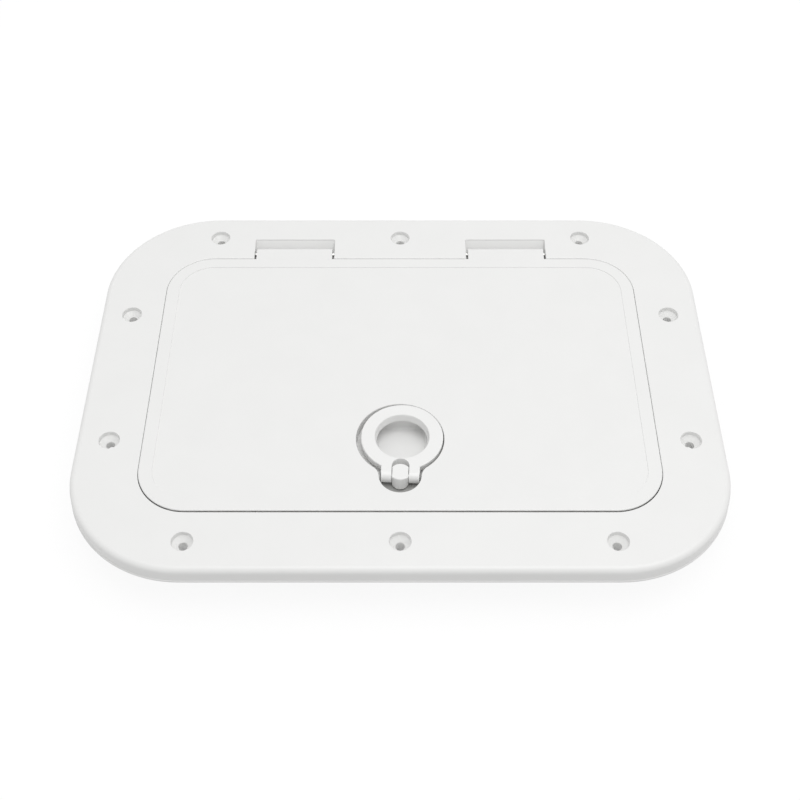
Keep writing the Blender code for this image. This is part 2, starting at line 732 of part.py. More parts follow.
def build_hatch():
    build_frame()
    for side, name in ((-1, "left"), (1, "right")):
        build_hinge_pin(side, name)

    lid_axis = axis_empty("lid_axis", (0, HINGE_Y, HINGE_Z))
    latch_axis = axis_empty("latch_axis", (0, PIVOT_Y, RING_PIN_Z))
    ring_axis = axis_empty("ring_axis", (0, RING_PIN_Y, RING_PIN_Z))
    tongue_axis = axis_empty("tongue_axis", (0, PIVOT_Y, BUSH_Z))
    attach(latch_axis, lid_axis)
    attach(ring_axis, latch_axis)
    attach(tongue_axis, lid_axis)

    for piece in (build_lid(), build_lid_seal(), build_spindle_seal()):
        attach(piece, lid_axis)
    for piece in (build_pivot_block(), build_ring_pin()):
        attach(piece, latch_axis)
    attach(build_pull_ring(), ring_axis)
    for piece in build_spindle_stack():
        attach(piece, tongue_axis)

    # The ring and its block stand turned a little to one side
    latch_axis.rotation_euler.z = RING_TURN
    bpy.context.view_layer.update()


build_hatch()
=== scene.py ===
# %% [markdown]
# # A flush deck hatch in white moulded plastic
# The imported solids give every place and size. This lesson dresses them: each moulding is modelled
# again with the soft edges that a mould leaves, because those edges are what the eye reads as
# moulded plastic.

# %% Load the solids
import math

import bmesh
import bpy
from mathutils import Matrix, Vector


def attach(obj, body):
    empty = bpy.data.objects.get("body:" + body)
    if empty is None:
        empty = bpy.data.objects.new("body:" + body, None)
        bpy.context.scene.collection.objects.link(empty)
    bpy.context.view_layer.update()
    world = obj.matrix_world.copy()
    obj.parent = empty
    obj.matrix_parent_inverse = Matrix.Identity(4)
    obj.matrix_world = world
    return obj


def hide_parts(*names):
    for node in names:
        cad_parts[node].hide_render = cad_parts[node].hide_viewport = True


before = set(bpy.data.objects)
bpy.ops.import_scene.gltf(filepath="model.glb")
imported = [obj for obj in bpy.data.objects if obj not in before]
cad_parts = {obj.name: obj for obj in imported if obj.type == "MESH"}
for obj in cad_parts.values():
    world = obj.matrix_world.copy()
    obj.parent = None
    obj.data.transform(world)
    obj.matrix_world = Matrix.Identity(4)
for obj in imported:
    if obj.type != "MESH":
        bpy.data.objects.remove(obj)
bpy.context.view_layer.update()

print("solids:", sorted(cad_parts))

# %% [markdown]
# ## Drawing tools
# Sizes are written in millimetres and turned to metres in one place. A piece starts as a plane that
# is merged to a single point, and the point is extruded along a line, as one draws by hand in edit
# mode. A line becomes a turned piece with Spin, or a face that Inset and Extrude carry along the
# piece's section.

# %% Start a piece and draw a line
MM = 0.001
TINY = 1e-6
WELD_DISTANCE = 1e-6


def start_plane(name, size):
    bpy.ops.object.select_all(action="DESELECT")
    bpy.ops.mesh.primitive_plane_add(size=size, location=(0, 0, 0))
    piece = bpy.context.object
    piece.name = name
    bpy.ops.object.mode_set(mode="EDIT")
    bpy.ops.mesh.select_mode(type="VERT")
    bpy.ops.mesh.select_all(action="SELECT")
    return piece


def start_piece(name):
    piece = start_plane(name, 1)
    bpy.ops.mesh.merge(type="CENTER")
    return piece


def draw_line(points):
    here = Vector(points[0]) * MM
    bpy.ops.transform.translate(value=here)
    for point in points[1:]:
        there = Vector(point) * MM
        bpy.ops.mesh.extrude_vertices_move(TRANSFORM_OT_translate={"value": there - here})
        here = there


def close_piece():
    bpy.ops.mesh.select_all(action="SELECT")
    bpy.ops.mesh.remove_doubles(threshold=WELD_DISTANCE)
    bpy.ops.mesh.normals_make_consistent(inside=False)
    bpy.ops.object.mode_set(mode="OBJECT")


print("lines are drawn at", MM, "m to the millimetre")

# %% [markdown]
# Two helpers give points in a plane: an arc, and a path whose corners are rounded. The rounding is
# what makes a section look moulded, so each corner of a section carries its own radius.

# %% Arcs and rounded corners
SOFT_STEPS = 5


def arc(centre, radius, start, end, steps):
    points = []
    for step in range(steps + 1):
        angle = math.radians(start + (end - start) * step / steps)
        across = centre[0] + radius * math.cos(angle)
        points.append((across, centre[1] + radius * math.sin(angle)))
    return points


def soften(corners, steps=SOFT_STEPS):
    """Turn corners (across, up, radius) into a path with each corner rounded."""
    path = []
    for index, (across, up, radius) in enumerate(corners):
        here = Vector((across, up))
        if radius == 0 or index in (0, len(corners) - 1):
            path.append(here)
            continue
        before = (Vector(corners[index - 1][:2]) - here).normalized()
        after = (Vector(corners[index + 1][:2]) - here).normalized()
        half = before.angle(after) / 2
        middle = here + (before + after).normalized() * (radius / math.sin(half))
        first = here + before * (radius / math.tan(half)) - middle
        last = here + after * (radius / math.tan(half)) - middle
        for step in range(steps + 1):
            path.append(middle + first.slerp(last, step / steps) * radius)
    return path


print("a rounded corner has", len(soften([(0, 0, 0), (0, 2, 1), (2, 2, 0)])) - 2, "points")

# %% [markdown]
# A turned piece is half a section that Spin carries round an axis. Its open ends are closed with
# one face each, so that it can cut or join other pieces.

# %% Turned pieces
ALONG_X = Vector((1, 0, 0))
ALONG_Z = Vector((0, 0, 1))
TURN_STEPS = 64
BAR_STEPS = 32


def spin_piece(name, profile, centre, axis=ALONG_Z, steps=TURN_STEPS):
    """Spin (radius, height) points about an axis through a centre point."""
    side = ALONG_X if axis is ALONG_Z else ALONG_Z
    piece = start_piece(name)
    middle = Vector(centre)
    draw_line([middle + side * radius + axis * height for radius, height in profile])
    bpy.ops.mesh.select_all(action="SELECT")
    bpy.ops.mesh.spin(steps=steps, angle=2 * math.pi, center=middle * MM, axis=axis)
    bpy.ops.mesh.select_all(action="SELECT")
    bpy.ops.mesh.remove_doubles(threshold=WELD_DISTANCE)
    bpy.ops.mesh.fill_holes(sides=0)
    close_piece()
    return piece


def bar(name, radius, low, high, centre, axis=ALONG_X, steps=BAR_STEPS):
    return spin_piece(name, [(radius, low), (radius, high)], centre, axis, steps)


print("turned pieces have", TURN_STEPS, "sides, small bars", BAR_STEPS)

# %% [markdown]
# Flat outlines become faces. A rounded rectangle is a plane whose four points are bevelled, which
# gives round corners at once. A face is then carried along a section by Inset and Extrude, so that
# the whole rim is made in one sweep and stays even.

# %% Faces, and carrying a face along a section
ROUND_STEPS = 24


def outline_face(name, points):
    piece = start_piece(name)
    draw_line(points)
    bpy.ops.mesh.select_all(action="SELECT")
    bpy.ops.mesh.edge_face_add()
    return piece


def rounded_face(name, half_x, half_y, radius, height, middle=(0, 0)):
    piece = start_plane(name, 2)
    bpy.ops.transform.resize(value=(half_x * MM, half_y * MM, 1), center_override=(0, 0, 0))
    bpy.ops.transform.translate(value=Vector((*middle, height)) * MM)
    bpy.ops.mesh.bevel(
        affect="VERTICES", offset=radius * MM, segments=ROUND_STEPS, profile=0.5
    )
    bpy.ops.mesh.select_all(action="SELECT")
    return piece


def extrude(x, y, z):
    shift = (x * MM, y * MM, z * MM)
    bpy.ops.mesh.extrude_region_move(TRANSFORM_OT_translate={"value": shift})


def follow_section(path):
    """Carry the selected face along (inset, height) points: Inset goes inwards, Extrude up or down."""
    for here, there in zip(path, path[1:]):
        rise = there[1] - here[1]
        inwards = (there[0] - here[0]) * MM
        if inwards > TINY:
            bpy.ops.mesh.inset(thickness=inwards, depth=0)
            bpy.ops.transform.translate(value=(0, 0, rise * MM))
        else:
            extrude(0, 0, rise)


print("round corners have", ROUND_STEPS, "steps")

# %% [markdown]
# Operators act on what is selected, so points, edges and faces are picked in code, by their place.
# Bevelled edges and sloping walls then follow from one operator each.

# %% Select by place, bevel and slope
def select_where(kind, test):
    bpy.ops.mesh.select_all(action="DESELECT")
    bpy.ops.mesh.select_mode(type=kind)
    mesh = bpy.context.object.data
    bm = bmesh.from_edit_mesh(mesh)
    for part in {"VERT": bm.verts, "EDGE": bm.edges, "FACE": bm.faces}[kind]:
        part.select = test(part)
    bm.select_flush_mode()
    bmesh.update_edit_mesh(mesh)


def select_start(height):
    """Select the large flat face that a piece was started from."""
    def is_start(face):
        level = all(abs(vert.co.z - height * MM) < TINY for vert in face.verts)
        return level and len(face.verts) > 4

    select_where("FACE", is_start)


def bevel_edges(test, offset, segments):
    select_where("EDGE", test)
    bpy.ops.mesh.bevel(offset=offset * MM, segments=segments, profile=0.5)


def outwards():
    bpy.ops.mesh.select_all(action="SELECT")
    bpy.ops.mesh.normals_make_consistent(inside=False)


def slope_back(cutter, behind, below, forwards):
    """Draw the foot of a cutter's back wall forwards, so that the wall it leaves slopes."""
    def at_foot(vert):
        return vert.co.y > behind * MM and vert.co.z < below * MM

    bpy.ops.object.mode_set(mode="EDIT")
    select_where("VERT", at_foot)
    bpy.ops.transform.translate(value=(0, -forwards * MM, 0))
    bpy.ops.object.mode_set(mode="OBJECT")
    print(cutter.name, "has a sloping back wall")


# %% [markdown]
# Holes are cut and bosses joined with Boolean modifiers that are applied at once, so that the next cut
# sees the result. The exact solver keeps the mesh closed. A cutter that is needed in many places is
# made once and copied.

# %% Cut, join and copy
def make_active(piece):
    bpy.ops.object.select_all(action="DESELECT")
    bpy.context.view_layer.objects.active = piece
    piece.select_set(True)


def apply_boolean(piece, tool, operation):
    make_active(piece)
    modifier = piece.modifiers.new(tool.name, "BOOLEAN")
    modifier.operation = operation
    modifier.solver = "EXACT"
    modifier.object = tool
    bpy.ops.object.modifier_apply(modifier=modifier.name)
    bpy.data.objects.remove(tool)


def carve(piece, tool):
    apply_boolean(piece, tool, "DIFFERENCE")


def add_on(piece, tool):
    apply_boolean(piece, tool, "UNION")


def copies_at(tool, places):
    """Copy a tool to each place, each copy with its own mesh, and join them to one object."""
    copies = []
    for place in places:
        make_active(tool)
        bpy.ops.object.duplicate()
        copy = bpy.context.object
        copy.location = Vector(place) * MM
        copies.append(copy)
    bpy.data.objects.remove(tool)
    make_active(copies[0])
    for copy in copies:
        copy.select_set(True)
    bpy.ops.object.transform_apply(location=True, rotation=False, scale=False)
    bpy.ops.object.join()
    return copies[0]


def block(name, low, high):
    """A plain cutter or rib between two corners."""
    bpy.ops.object.select_all(action="DESELECT")
    bpy.ops.mesh.primitive_cube_add(size=1)
    tool = bpy.context.object
    tool.name = name
    bpy.ops.object.mode_set(mode="EDIT")
    bpy.ops.mesh.select_all(action="SELECT")
    size = (Vector(high) - Vector(low)) * MM
    bpy.ops.transform.resize(value=size, center_override=(0, 0, 0))
    bpy.ops.transform.translate(value=(Vector(high) + Vector(low)) * (MM / 2))
    bpy.ops.object.mode_set(mode="OBJECT")
    return tool


# %% [markdown]
# A finished piece gets smooth shading with its sharp edges kept and its material. The solid that it
# stands for is hidden, and the piece is attached to the body that it moves with. Weighted normals keep
# its flat faces flat beside the small fillets, as they look on a moulding.

# %% Finish a piece
SMOOTH_ANGLE = math.radians(32)


def finish_piece(piece, material, node, body):
    make_active(piece)
    bpy.ops.object.shade_smooth_by_angle(angle=SMOOTH_ANGLE)
    weighted = piece.modifiers.new("flat_faces_stay_flat", "WEIGHTED_NORMAL")
    weighted.keep_sharp = True
    bpy.ops.object.modifier_apply(modifier=weighted.name)
    piece.data.materials.clear()
    piece.data.materials.append(material)
    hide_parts(node)
    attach(piece, body)
    print(piece.name, "stands for", node, "with", len(piece.data.polygons), "faces")


print("edges sharper than", round(math.degrees(SMOOTH_ANGLE)), "degrees stay sharp")

# %% [markdown]
# ## Finishes
# A finish is a node tree on the Principled shader. Colours are written as sRGB hex and turned to linear
# in one place, and one function adds a node with its values and links. Patterns are scaled from real
# sizes in millimetres and read Object coordinates, so they stay put on a piece when it moves.

# %% Colour, nodes and the scale of a pattern
MM_PER_METRE = 1000


def srgb(hex_colour):
    channels = [int(hex_colour[index:index + 2], 16) / 255 for index in (0, 2, 4)]
    linear = [c / 12.92 if c <= 0.04045 else ((c + 0.055) / 1.055) ** 2.4 for c in channels]
    return (*linear, 1)


def add_node(tree, kind, values=None, links=None, **settings):
    node = tree.nodes.new(kind)
    for name, value in settings.items():
        setattr(node, name, value)
    for name, value in (values or {}).items():
        node.inputs[name].default_value = value
    for name, socket in (links or {}).items():
        tree.links.new(socket, node.inputs[name])
    return node


def new_material(name):
    material = bpy.data.materials.new(name)
    material.use_nodes = True
    return material, material.node_tree, material.node_tree.nodes["Principled BSDF"]


def per_metre(size_mm):
    return MM_PER_METRE / size_mm


def cloudy_colour(tree, shader, size_mm, detail, shade, light):
    """Colour a shader with soft clouds of a real size, and return the coordinates and the clouds."""
    place = add_node(tree, "ShaderNodeTexCoord").outputs["Object"]
    scale = {"Scale": per_metre(size_mm), "Detail": detail}
    cloud = add_node(tree, "ShaderNodeTexNoise", scale, {"Vector": place}).outputs["Fac"]
    tint = add_node(tree, "ShaderNodeValToRGB", links={"Fac": cloud})
    tint.color_ramp.elements[0].color = srgb(shade)
    tint.color_ramp.elements[1].color = srgb(light)
    tree.links.new(tint.outputs["Color"], shader.inputs["Base Color"])
    return place, cloud


print("a pattern of 1 mm has the scale", per_metre(1))

# %% [markdown]
# White ASA is what such hatches are moulded from, because it stays white in the sun. It gives the eye a
# smooth, slightly waxy white with a soft sheen in place of a mirror. Its skin is never optically flat:
# it waves gently where the wall shrank, and carries the grain of the mould's polished steel. That grain
# is finer than a pixel, so it is drawn at about a millimetre, as coarse as it needs to be to show. The
# ring, its lug and the tongue come from another mould, and are a touch lighter and glossier.

# %% White moulded ASA
SHRINK_WAVE_MM = 22
MOULD_GRAIN_MM = 0.9
GRAIN_HEIGHT = 0.004 * MM
GRAIN_STRENGTH = 0.35
GLOSS_SPREAD = 0.04
ASA_IOR = 1.5


def moulded_asa(name, light, shade, roughness):
    material, tree, shader = new_material(name)
    place, wave = cloudy_colour(tree, shader, SHRINK_WAVE_MM, 2, shade, light)
    limits = {"To Min": roughness - GLOSS_SPREAD, "To Max": roughness + GLOSS_SPREAD}
    gloss = add_node(tree, "ShaderNodeMapRange", limits, {"Value": wave})
    tree.links.new(gloss.outputs["Result"], shader.inputs["Roughness"])
    scale = {"Scale": per_metre(MOULD_GRAIN_MM), "Detail": 1}
    grain = add_node(tree, "ShaderNodeTexNoise", scale, {"Vector": place})
    depth = {"Strength": GRAIN_STRENGTH, "Distance": GRAIN_HEIGHT}
    bump = add_node(tree, "ShaderNodeBump", depth, {"Height": grain.outputs["Fac"]})
    tree.links.new(bump.outputs["Normal"], shader.inputs["Normal"])
    shader.inputs["IOR"].default_value = ASA_IOR
    return material


white_asa = moulded_asa("white_asa_moulded", light="eaeae9", shade="e7e7e6", roughness=0.34)
latch_asa = moulded_asa("white_asa_latch", light="ececeb", shade="e9e9e8", roughness=0.30)
print("white finishes:", white_asa.name, latch_asa.name)

# %% [markdown]
# The seals are EPDM, a rubber that is pressed in a mould. To the eye it is matt, with hardly a
# highlight, and a faint lighter bloom lies in its grain. The real grain is finer, and is drawn at half a
# millimetre so that it shows. The gasket is black. The washer at the lug's foot is rubber too, but its
# grey is painted shade: it stands for the shadowed floor of the well in front of the lug.

# %% Sealing rubber, black and grey
RUBBER_GRAIN_MM = 0.5
RUBBER_GRAIN_HEIGHT = 0.02 * MM
RUBBER_GRAIN_STRENGTH = 0.4
RUBBER_ROUGHNESS = 0.68
RUBBER_IOR = 1.52


def sealing_rubber(name, dark, light):
    material, tree, shader = new_material(name)
    grain = cloudy_colour(tree, shader, RUBBER_GRAIN_MM, 2, dark, light)[1]
    depth = {"Strength": RUBBER_GRAIN_STRENGTH, "Distance": RUBBER_GRAIN_HEIGHT}
    bump = add_node(tree, "ShaderNodeBump", depth, {"Height": grain})
    tree.links.new(bump.outputs["Normal"], shader.inputs["Normal"])
    shader.inputs["Roughness"].default_value = RUBBER_ROUGHNESS
    shader.inputs["IOR"].default_value = RUBBER_IOR
    return material


black_epdm = sealing_rubber("black_epdm", dark="161616", light="232322")
# The washer's grey is painted shade for the shadowed well in front of the lug.
grey_epdm_painted_shade = sealing_rubber("grey_epdm_painted_shade", dark="9a9a98", light="aaaaa8")
print("rubber:", black_epdm.name, grey_epdm_painted_shade.name)

# %% [markdown]
# The thrust washer is turned from natural nylon, which looks cream, a little cloudy and softly shiny.
# Pins, spindle and nut are drawn stainless steel. The die leaves fine lines along the wire, so its
# highlights are blurred and streaky. The lines are drawn a quarter of a millimetre apart, coarser than
# real ones, so that they show. A Mapping node stretches one noise into lines along X, the way the pins
# lie.

# %% Natural nylon and drawn stainless steel
NYLON_CLOUD_MM = 4
NYLON_ROUGHNESS = 0.45
NYLON_IOR = 1.53
DRAW_LINE_MM = 0.25
DRAW_LENGTH_MM = 14
DRAW_HEIGHT = 0.01 * MM
DRAW_STRENGTH = 0.3
STEEL_ROUGHNESS = (0.2, 0.36)


def natural_nylon():
    material, tree, shader = new_material("natural_nylon_turned")
    cloudy_colour(tree, shader, NYLON_CLOUD_MM, 3, "d6d2c4", "e2dfd3")
    shader.inputs["Roughness"].default_value = NYLON_ROUGHNESS
    shader.inputs["IOR"].default_value = NYLON_IOR
    return material


def drawn_stainless():
    material, tree, shader = new_material("stainless_drawn")
    place = add_node(tree, "ShaderNodeTexCoord").outputs["Object"]
    across = per_metre(DRAW_LINE_MM)
    stretch = {"Scale": (per_metre(DRAW_LENGTH_MM), across, across)}
    wire = add_node(tree, "ShaderNodeMapping", stretch, {"Vector": place}).outputs["Vector"]
    noise = add_node(tree, "ShaderNodeTexNoise", {"Scale": 1, "Detail": 2}, {"Vector": wire})
    lines = noise.outputs["Fac"]
    limits = {"To Min": STEEL_ROUGHNESS[0], "To Max": STEEL_ROUGHNESS[1]}
    gloss = add_node(tree, "ShaderNodeMapRange", limits, {"Value": lines})
    tree.links.new(gloss.outputs["Result"], shader.inputs["Roughness"])
    depth = {"Strength": DRAW_STRENGTH, "Distance": DRAW_HEIGHT}
    bump = add_node(tree, "ShaderNodeBump", depth, {"Height": lines})
    tree.links.new(bump.outputs["Normal"], shader.inputs["Normal"])
    shader.inputs["Base Color"].default_value = srgb("cfcfcd")
    shader.inputs["Metallic"].default_value = 1
    return material


nylon = natural_nylon()
stainless = drawn_stainless()
print("metal and nylon:", stainless.name, nylon.name)

# %% [markdown]
# ## The frame
# The frame is one moulding: a flange that lies on the deck, a collar that drops through it, and a
# gutter with a raised lip where the lid seals. All of its edges run parallel, so one rounded rectangle
# is carried along the section, first over the top and then underneath, and the two shells are welded
# where they meet.

# %% The frame's section
TOP = 38
DECK = 27
FRAME_START = 27.4
RIM_FILLET = 3.6
RIM_WALL = 3
BEAD = 0.5
COLLAR_INSET = 36.6
COLLAR_SHOULDER = COLLAR_INSET - 1
SEAT_INSET = 39.6
LIP_INSET = 46.6
OPENING_INSET = 49.6
GUTTER = 24
LIP = 30
CEILING = 34
LEDGE_UNDER = 21

# Each corner is its inset from the outline, its height and its radius.
FRAME_OVER = [
    (0, FRAME_START, 0), (0, DECK + 1.1, 0.25), (BEAD, DECK + 1.4, 0.15), (BEAD, TOP, RIM_FILLET),
    (SEAT_INSET, TOP, 0.5), (SEAT_INSET, GUTTER, 0.8), (LIP_INSET, GUTTER, 0.6),
    (LIP_INSET, LIP, 0.7), (OPENING_INSET, LIP, 0.7), (OPENING_INSET, LEDGE_UNDER, 0),
]
FRAME_UNDER = [
    (0, FRAME_START, 0), (0, DECK, 0.25), (RIM_WALL, DECK, 0.4), (RIM_WALL, CEILING, 0.8),
    (COLLAR_SHOULDER, CEILING, 0.8), (COLLAR_SHOULDER, DECK, 0.3), (COLLAR_INSET, DECK, 0.3),
    (COLLAR_INSET, 0, 0.8), (SEAT_INSET, 0, 0.8), (SEAT_INSET, LEDGE_UNDER, 1),
    (OPENING_INSET, LEDGE_UNDER, 0),
]
print("frame section:", len(FRAME_OVER), "corners over and", len(FRAME_UNDER), "under")

# %% Frame shell
HALF_X = 191.5
HALF_Y = 141.5
CORNER = 69.5
RIM_STEPS = 8


def carry_round(piece, start, over, under):
    """Carry a face over the top and underneath, open both at the inner edge and weld them."""
    follow_section(over)
    bpy.ops.mesh.delete(type="ONLY_FACE")
    select_start(start)
    follow_section(under)
    bpy.ops.mesh.delete(type="ONLY_FACE")
    close_piece()
    return piece


flange = rounded_face("frame_moulding", HALF_X, HALF_Y, CORNER, FRAME_START)
over = soften(FRAME_OVER, RIM_STEPS)
frame_moulding = carry_round(flange, FRAME_START, over, soften(FRAME_UNDER))
print("frame shell:", len(frame_moulding.data.vertices), "points")

# %% [markdown]
# Under the flange, screw bosses and ribs stiffen the hollow. Their lower ends stop a hair short of the
# rim, as moulded ribs do, so that the rim alone makes the edge. They are plain blocks and bars, joined
# to the shell.

# %% Bosses, ribs and hinge blocks
RIB_HALF = 1
RIB_START = 1.5
RIB_END = COLLAR_INSET + 1
IN_PLATE = 35.5
RIB_HEIGHTS = (DECK + 0.3, IN_PLATE)
FRONT_RIBS = (30, 75)
BACK_RIB = 109
SIDE_RIBS = (-78, 0, 78)
BOSS_RADIUS = 8.5
BOSS_FOOT = DECK + 0.1
HINGE_X = 70.5
NOTCH_HALF = 26.5
CHEEK = 2.5
NOTCH_BACK = 119.8
HINGE_BLOCK_FRONT = 104.2
HINGE_BLOCK_HEIGHTS = (DECK + 0.6, IN_PLATE)
SCREW_PLACES = [(x, y, 0) for y in (-121.5, 121.5) for x in (-121, 0, 121)]
SCREW_PLACES += [(x, y, 0) for x in (-171.5, 171.5) for y in (-50.7, 50.7)]


def both_sides(middle, half):
    return (middle - half, middle + half)


def add_block(shell, name, across, along, heights):
    add_on(shell, block(name, *zip(across, along, heights)))


def add_stiffening(shell):
    boss = bar("screw_boss", BOSS_RADIUS, BOSS_FOOT, IN_PLATE, (0, 0, 0), ALONG_Z)
    add_on(shell, copies_at(boss, SCREW_PLACES))
    for side in (-1, 1):
        along = (-HALF_Y + RIB_START, -HALF_Y + RIB_END)
        for x in FRONT_RIBS:
            add_block(shell, "front_rib", both_sides(side * x, RIB_HALF), along, RIB_HEIGHTS)
        along = (HALF_Y - RIB_END, HALF_Y - RIB_START)
        add_block(shell, "back_rib", both_sides(side * BACK_RIB, RIB_HALF), along, RIB_HEIGHTS)
        across = sorted((side * (HALF_X - RIB_START), side * (HALF_X - RIB_END)))
        for y in SIDE_RIBS:
            add_block(shell, "side_rib", across, both_sides(y, RIB_HALF), RIB_HEIGHTS)
        across = both_sides(side * HINGE_X, NOTCH_HALF + CHEEK)
        along = (HINGE_BLOCK_FRONT, NOTCH_BACK + CHEEK)
        add_block(shell, "hinge_block", across, along, HINGE_BLOCK_HEIGHTS)


add_stiffening(frame_moulding)
print("stiffened frame:", len(frame_moulding.data.polygons), "faces")

# %% [markdown]
# Each of the ten screw holes has a sunk seat: a low upright wall that hides the rim of the screw's
# head, then a cone that the head lies on, then the bore. One cutter is turned with the soft lip that
# the mould leaves at the top, then copied to each place.

# %% Screw holes
HOLE_STEPS = 48
HOLE_PROFILE = [
    (0, TOP + 0.6), (6.95, TOP + 0.6), (6.5, TOP + 0.12), (6.3, TOP - 0.08), (6.17, TOP - 0.3),
    (6.1, TOP - 0.65), (6.04, TOP - 2.5), (5.94, TOP - 2.85), (5.6, TOP - 3.15), (2.95, TOP - 5.2),
    (2.68, TOP - 5.45), (2.6, TOP - 5.9), (2.6, DECK + 0.7), (3.2, DECK - 0.2), (3.2, DECK - 0.6),
    (0, DECK - 0.6),
]


def cut_screw_holes(shell):
    hole = spin_piece("screw_hole", HOLE_PROFILE, (0, 0, 0), steps=HOLE_STEPS)
    carve(shell, copies_at(hole, SCREW_PLACES))


cut_screw_holes(frame_moulding)
print("screw holes:", len(SCREW_PLACES))

# %% [markdown]
# At the back, two pockets take the lid's hinge tabs. A pocket's cutter starts a little large above the
# flange and draws in to size, which leaves a soft lip, and the foot of its back wall is moved forwards,
# which leaves the slope behind the tab. Then come the pin's hole and room for its head and clip.

# %% Hinge pockets
HINGE_Y = 109.3
HINGE_Z = 34
SEAT_Y = 101.9
NOTCH_FLOOR = 29.5
NOTCH_SLOPE = 5.4
NOTCH_CORNER = 1.2
NOTCH_OVERLAP = 2
LIP_GROW = 0.5
LIP_RISE = 0.3
NOTCH_LIP = [(0, LIP_RISE), (0.2, 0.02), (0.38, -0.22), (0.48, -0.5), (LIP_GROW, -0.8)]
FLOOR_FILLET = [(LIP_GROW, 0.6), (0.7, 0.2), (1.1, 0)]
BACK_BAND = 3
FOOT_BAND = 1
PIN_HOLE = 1.8
HOLE_OVERRUN = 1
PIN_ROOM_DEEP = 4.5
PIN_ROOM_HALF = 2.9
PIN_ROOM_FOOT = DECK - 1


def sunk_path(lip, top, floor):
    """The path of a sunk cutter: in over a soft lip, straight down, and round into the floor."""
    path = [(inset, top + rise) for inset, rise in lip]
    return path + [(inset, floor + rise) for inset, rise in FLOOR_FILLET]


def cut_pin_room(shell, near, end):
    across = sorted((near, near + end * PIN_ROOM_DEEP))
    along = both_sides(HINGE_Y, PIN_ROOM_HALF)
    heights = (PIN_ROOM_FOOT, HINGE_Z + PIN_ROOM_HALF)
    carve(shell, block("pin_room", *zip(across, along, heights)))


def cut_hinge_pocket(shell, middle_x):
    half_y = (NOTCH_BACK - SEAT_Y + NOTCH_OVERLAP) / 2
    middle = (middle_x, NOTCH_BACK - half_y)
    grown = (NOTCH_HALF + LIP_GROW, half_y + LIP_GROW)
    pocket = rounded_face("hinge_pocket", *grown, NOTCH_CORNER, TOP + LIP_RISE, middle)
    follow_section(sunk_path(NOTCH_LIP, TOP, NOTCH_FLOOR))
    close_piece()
    slope_back(pocket, NOTCH_BACK - BACK_BAND, NOTCH_FLOOR + FOOT_BAND, NOTCH_SLOPE)
    carve(shell, pocket)
    ends = both_sides(middle_x, NOTCH_HALF + CHEEK + HOLE_OVERRUN)
    carve(shell, bar("pin_hole", PIN_HOLE, *ends, (0, HINGE_Y, HINGE_Z)))
    for end in (-1, 1):
        cut_pin_room(shell, middle_x + end * (NOTCH_HALF + CHEEK), end)


for side in (-1, 1):
    cut_hinge_pocket(frame_moulding, side * HINGE_X)
finish_piece(frame_moulding, white_asa, "frame", "frame")

# %% [markdown]
# ## The lid
# The lid is a plate with a skirt. Its border stands half a millimetre above the panel, which is the
# faint second line inside the lid's edge. The upper edge stands out a little over the skirt, so that
# the gap is narrow to the eye and the lid still clears the frame as it swings. It is carried along its
# section in the same way as the frame.

# %% Lid shell
LID_HALF_X = 151.75
LID_HALF_Y = 101.25
LID_MIDDLE_Y = 0.45
LID_CORNER = 29.6
LID_START = 37.15
LID_FOOT = 26
LID_EDGE_UNDER = 36
SKIRT_OUTER = 1.05
SKIRT_INNER = 3.95
PLATE_UNDER = 33.5
PLATE_INSET = 6
PANEL = 37.5
PANEL_INSET = 12
BORDER = 8.1
BORDER_STEP = 8.2
LID_OVER = [
    (0, LID_START, 0), (0, TOP, 0.75), (BORDER, TOP, 0.1), (BORDER_STEP, PANEL, 0.1),
    (PANEL_INSET, PANEL, 0),
]
LID_UNDER = [
    (0, LID_START, 0), (SKIRT_OUTER, LID_EDGE_UNDER, 0.5), (SKIRT_OUTER, LID_FOOT, 0.4),
    (SKIRT_INNER, LID_FOOT, 0.4), (SKIRT_INNER, PLATE_UNDER, 0.6), (PLATE_INSET, PLATE_UNDER, 0),
]


def build_lid_shell():
    outline = (LID_HALF_X, LID_HALF_Y, LID_CORNER)
    shell = rounded_face("lid_moulding", *outline, LID_START, (0, LID_MIDDLE_Y))
    follow_section(soften(LID_OVER))
    select_start(LID_START)
    follow_section(soften(LID_UNDER))
    close_piece()
    return shell


lid_moulding = build_lid_shell()
print("lid shell:", len(lid_moulding.data.vertices), "points")

# %% [markdown]
# Ribs under the plate keep it flat when someone steps on it. They end at slightly different heights, so
# that no two faces lie in one plane where they cross, which would trouble the Boolean. Each hinge tab is
# drawn from the side, a barrel round the pin with a straight underside, and extruded along the hinge.

# %% Lid ribs and hinge tabs
IN_LID = 35
LID_RIB_FOOT = 28.5
CROSS_RIBS = (-100, -50, 50, 100)
CROSS_RIB_HALF = 87.5
CROSS_RIB_STEP = 0.05
LONG_RIBS = (-48, 0, 48)
LONG_RIB_HALF = 137.5
LONG_RIB_HEIGHTS = (LID_RIB_FOOT + 0.25, IN_LID + 0.4)
TAB_HALF = 25.2
TAB_TOP = 37.92
TAB_UNDER = 31.36
TAB_ROOT = 99.6
TAB_EDGE = 0.35
BARREL_END = -98
BARREL_STEPS = 26


def add_lid_ribs(shell):
    along = both_sides(0, CROSS_RIB_HALF)
    for number, x in enumerate(CROSS_RIBS):
        heights = (LID_RIB_FOOT + CROSS_RIB_STEP * number, IN_LID)
        add_block(shell, "cross_rib", both_sides(x, RIB_HALF), along, heights)
    across = both_sides(0, LONG_RIB_HALF)
    for y in LONG_RIBS:
        add_block(shell, "long_rib", across, both_sides(y, RIB_HALF), LONG_RIB_HEIGHTS)


